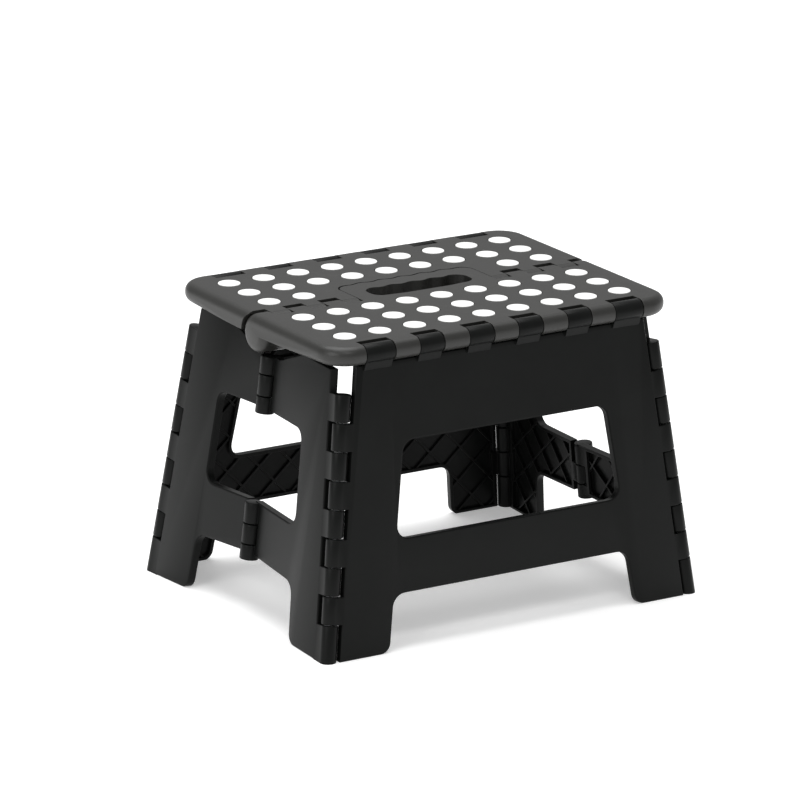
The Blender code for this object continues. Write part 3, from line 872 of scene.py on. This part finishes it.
def middlePoint(z):
    # where the outer face of an end panel meets the middle plane
    near = end @ Vector((0.0, endV(0.0, z), -cornerHinge["radius"]))
    far = end @ Vector((1.0, endV(1.0, z), -cornerHinge["radius"]))
    s = near.y / (near.y - far.y)
    return Vector((s, endV(s, z)))


def endOutline():
    past = middlePoint(100.0).x + 20.0
    (footZ, footFillet), middleZ = endPanel["arch"]
    points = [(endPanel["side"], 0.0, 0.0), (endPanel["foot"], 0.0, endPanel["footFillet"]),
              (endPanel["foot"], footZ, footFillet), (middlePoint(middleZ).x, middleZ, 0.0),
              (past, middleZ, 0.0), (past, endPanel["top"][0][1], 0.0)]
    points += [(middlePoint(z).x - away, z, 0.0) for away, z in endPanel["top"]]
    points.append((endPanel["side"], endPanel["top"][1][1], 0.0))
    return [(s, endV(s, z), radius) for s, z, radius in points]


def endWindow(grow):
    past = middlePoint(100.0).x + 25.0
    fillet = endPanel["windowFillet"] + grow
    (lowS, lowZ), (highS, highZ) = endPanel["window"]
    points = [(past, endPanel["windowMiddle"][0] - grow, 0.0), (lowS - grow, lowZ - grow, fillet),
              (highS - grow, highZ + grow, fillet), (past, endPanel["windowMiddle"][1] + grow, 0.0)]
    return [(s, endV(s, z), radius) for s, z, radius in points]


def seamStrip(margin, low=-20.0, high=deck["cutHigh"]):
    start, finish = middlePoint(low), middlePoint(high)
    line = finish - start
    sideways = Vector((-line.y, line.x)).normalized()
    far = 60.0
    return sharpCorners([start + sideways * margin, start - sideways * far, finish - sideways * far,
                         finish + sideways * margin])


def middleSpans(side):
    outer, inner = [], []
    for levels in (middleHinge["upper"], middleHinge["lower"]):
        outer += [(levels[0], levels[1]), (levels[2], levels[3])]
        inner += [(levels[1], levels[2])]
    return (outer, inner) if side < 0 else (inner, outer)


def endShell(xSign, side):
    place = mirroredPlace(end, xSign, -side)
    outer = -cornerHinge["radius"]
    outline = endOutline()
    shell = slab(outline, outer, outer + endPanel["depth"], place, endPanel["softEdge"])
    floor = outer + endPanel["skin"]
    hollow = insetSlab(outline, endPanel["wall"], floor + endPanel["ribHeight"], 10.0, place)
    space = insetSlab(outline, endPanel["wall"] + 0.3, floor - 1.0, 9.0, place)
    for part, extra in ((hollow, 0.0), (space, 0.3)):
        ring = slab(endWindow(endPanel["wall"] + extra), outer - 5.0, 20.0, place)
        wall = slab(seamStrip(endPanel["seamWall"] + extra), outer - 5.0, 20.0, place)
        combine(part, [ring, wall], "DIFFERENCE")
    pockets = ribPockets(space, endPanel, endPanel["ribBox"], floor, 12.0, place)
    combine(shell, [hollow, pockets], "DIFFERENCE")
    own, other = middleSpans(side)
    cuts = [slab(endWindow(0.0), outer - 5.0, 10.0, place),
            slab(endWindow(endPanel["flare"]), outer - 5.0, outer + endPanel["flareDepth"], place),
            slab(seamStrip(endPanel["parting"]), outer - 5.0, 10.0, place)]
    for low, high in other:
        strip = seamStrip(middleHinge["clear"], low - 0.3, high + 0.3)
        cuts.append(slab(strip, outer - 5.0, 10.0, place))
    combine(shell, cuts, "DIFFERENCE")
    adds = cornerKnuckles("end", side, (xSign,))
    for low, high in own:
        levels = (low + middleHinge["gap"], high - middleHinge["gap"])
        ends = [place @ Vector((*middlePoint(z), outer)) for z in levels]
        size = middleHinge["endRound"]
        adds.append(rod(*ends, middleHinge["radius"], 48, size, size))
    combine(shell, adds, "UNION")
    combine(shell, [floorCut(), cornerBore(xSign, side)], "DIFFERENCE")
    return shell


for xSign, endName in ((-1, "left"), (1, "right")):
    for side, half in ((-1, "front"), (1, "rear")):
        finishPiece(endShell(xSign, side), endName + half.title() + "EndShell", panelPlastic,
                    f"{endName}_{half}_end", [f"{endName}_end_{half}_panel"])
print("end panels made")

for name, node in frame["nodes"].items():
    if name.endswith("_pin"):
        node.data.materials.clear()
        node.data.materials.append(pinSteel)
print("pins finished")

# floor, light and camera
studio = {
    "floorSize": 30.0,
    "floorColour": (0.9, 0.9, 0.9),
    "world": (1.0, 1.0, 1.0),
    "worldStrength": 0.55,
    "floorGlow": 0.32,
    "lights": (
        # name, size, power, place, aim
        ("overhead", 2.4, 60.0, (0.0, 0.6, 2.6), (0.0, 0.0, 0.1)),
        ("leftKey", 1.4, 20.0, (-2.3, -0.6, 1.2), (0.0, 0.0, 0.12)),
        ("frontTop", 0.5, 6.0, (-0.5, -1.5, 1.9), (0.0, -0.1, 0.2)),
    ),
}
cameraSet = {
    "azimuth": -32.72,
    "elevation": 16.88,
    "roll": 0.74,
    "lens": 295.95,
    "sensor": 36.0,
    "position": (-2.4439, -3.7741, 1.5001),
}


def paleFloor():
    shape = bmesh.new()
    bmesh.ops.create_grid(shape, x_segments=1, y_segments=1, size=studio["floorSize"] / 2)
    mesh = bpy.data.meshes.new("floor")
    shape.to_mesh(mesh)
    shape.free()
    floor = bpy.data.objects.new("floor", mesh)
    bpy.context.scene.collection.objects.link(floor)
    material = bpy.data.materials.new("paleFloor")
    material.use_nodes = True
    shader = material.node_tree.nodes["Principled BSDF"]
    shader.inputs["Base Color"].default_value = (*studio["floorColour"], 1.0)
    shader.inputs["Roughness"].default_value = 0.9
    shader.inputs["Specular IOR Level"].default_value = 0.1
    shader.inputs["Emission Color"].default_value = (1.0, 1.0, 1.0, 1.0)
    shader.inputs["Emission Strength"].default_value = studio["floorGlow"]
    mesh.materials.append(material)


def softLights():
    world = bpy.data.worlds.new("studioWorld")
    world.use_nodes = True
    background = world.node_tree.nodes["Background"]
    background.inputs["Color"].default_value = (*studio["world"], 1.0)
    background.inputs["Strength"].default_value = studio["worldStrength"]
    bpy.context.scene.world = world
    for name, size, power, position, aim in studio["lights"]:
        data = bpy.data.lights.new(name, "AREA")
        data.size = size
        data.energy = power
        lamp = bpy.data.objects.new(name, data)
        lamp.location = position
        lamp.rotation_euler = (Vector(aim) - Vector(position)).to_track_quat("-Z", "Y").to_euler()
        bpy.context.scene.collection.objects.link(lamp)


def placeCamera():
    azimuth, elevation = math.radians(cameraSet["azimuth"]), math.radians(cameraSet["elevation"])
    back = Vector((math.sin(azimuth) * math.cos(elevation), -math.cos(azimuth) * math.cos(elevation),
                   math.sin(elevation)))
    right = Vector((math.cos(azimuth), math.sin(azimuth), 0.0))
    right.rotate(Matrix.Rotation(math.radians(cameraSet["roll"]), 3, back))
    place = placeOf(Vector(cameraSet["position"]), right, back.cross(right), back)
    data = bpy.data.cameras.new("camera")
    data.lens = cameraSet["lens"]
    data.sensor_width = cameraSet["sensor"]
    data.clip_end = 60.0
    camera = bpy.data.objects.new("camera", data)
    camera.matrix_world = place
    bpy.context.scene.collection.objects.link(camera)
    bpy.context.scene.camera = camera


paleFloor()
softLights()
placeCamera()
bpy.context.scene.view_settings.view_transform = "Standard"
print("floor, lights and camera placed")
